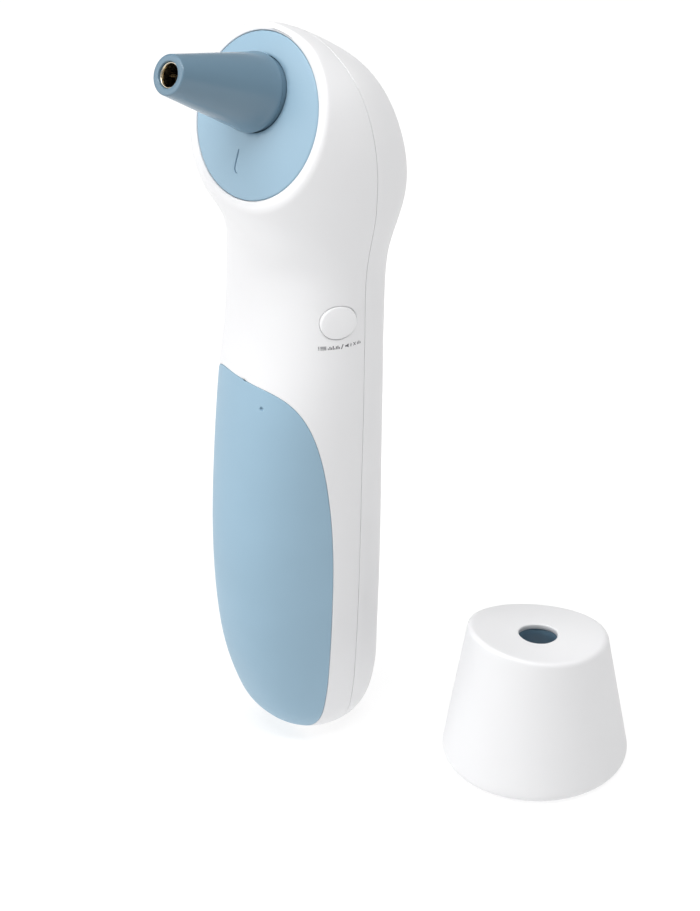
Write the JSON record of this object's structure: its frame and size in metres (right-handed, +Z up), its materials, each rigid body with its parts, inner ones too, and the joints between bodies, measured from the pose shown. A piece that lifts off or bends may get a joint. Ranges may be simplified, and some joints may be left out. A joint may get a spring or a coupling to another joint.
{
  "type": "ear and forehead thermometer",
  "caption": "Hand-held infrared ear and forehead thermometer with a tilted round face, tapered probe, arched battery cover, push buttons and a separate tapered forehead cap.",
  "frame": {"origin": "lower end of the handle, on the plane of the seam between front and rear housings, in the plane of symmetry", "axes": "+Z up the handle to the head, -Y forward where the probe points, +X the side with the memory button"},
  "size_m": [0.0802, 0.0781, 0.1592],
  "materials": {
    "housing_white": "fine satin moulded ABS",
    "button_white": "satin moulded ABS",
    "face_blue": "satin light blue",
    "probe_blue": "smooth satin blue",
    "cover_blue": "soft satin light blue",
    "gold_plate": "polished gold plate",
    "bare_metal": "bright nickel",
    "board_green": "solder mask",
    "chip_black": "moulded epoxy",
    "small_parts": "ceramic chips",
    "flex_amber": "polyimide film",
    "lens_clear": "clear acrylic",
    "lcd_grey": "liquid-crystal cell",
    "light_guide": "frosted diffuser",
    "zebra_rubber": "striped conductive rubber",
    "tray_grey": "moulded ABS",
    "cell_wrap": "printed sleeve without text",
    "lead_wire": "PVC insulation"
  },
  "bodies": {
    "handle": {"front_housing": "housing_white", "rear_housing": "housing_white", "faceplate": "face_blue", "probe_cone": "probe_blue", "waveguide": "gold_plate", "sensor_holder": "bare_metal", "thermopile_sensor": "bare_metal", "sensor_board": "board_green", "sensor_screws": "bare_metal", "sensor_flex": "flex_amber", "main_board": "board_green", "microcontroller": "chip_black", "smd_components": "small_parts", "board_screws": "bare_metal", "buzzer": "chip_black", "scan_switch": "chip_black", "memory_switch": "chip_black", "display_window": "lens_clear", "lcd_frame": "chip_black", "lcd_glass": "lcd_grey", "lcd_backlight": "light_guide", "zebra_strips": "zebra_rubber", "battery_tray": "tray_grey", "battery_left": "cell_wrap", "battery_right": "cell_wrap", "battery_springs": "bare_metal", "battery_contacts": "bare_metal", "power_leads": "lead_wire", "housing_screws": "bare_metal"},
    "cover": {"battery_cover": "cover_blue"},
    "scan_key": {"scan_button": "button_white"},
    "memory_key": {"memory_button": "button_white"},
    "cap": {"cap_shell": "housing_white", "cap_liner": "probe_blue"}
  },
  "joints": [
    {"name": "cover_pull", "type": "slide", "parent": "handle", "child": "cover", "axis": [0, -1, 0], "range_m": [0, 0.035]},
    {"name": "scan_press", "type": "slide", "parent": "handle", "child": "scan_key", "axis": [0, -1, 0], "range_m": [0, 0.0008], "stiffness_N_per_m": 600},
    {"name": "memory_press", "type": "slide", "parent": "handle", "child": "memory_key", "axis": [-0.8957, 0.4446, 0], "range_m": [0, 0.0006], "stiffness_N_per_m": 600},
    {"name": "cap_lift", "type": "slide", "parent": "handle", "child": "cap", "axis": [0, 0, 1], "range_m": [0, 0.05]}
  ]
}
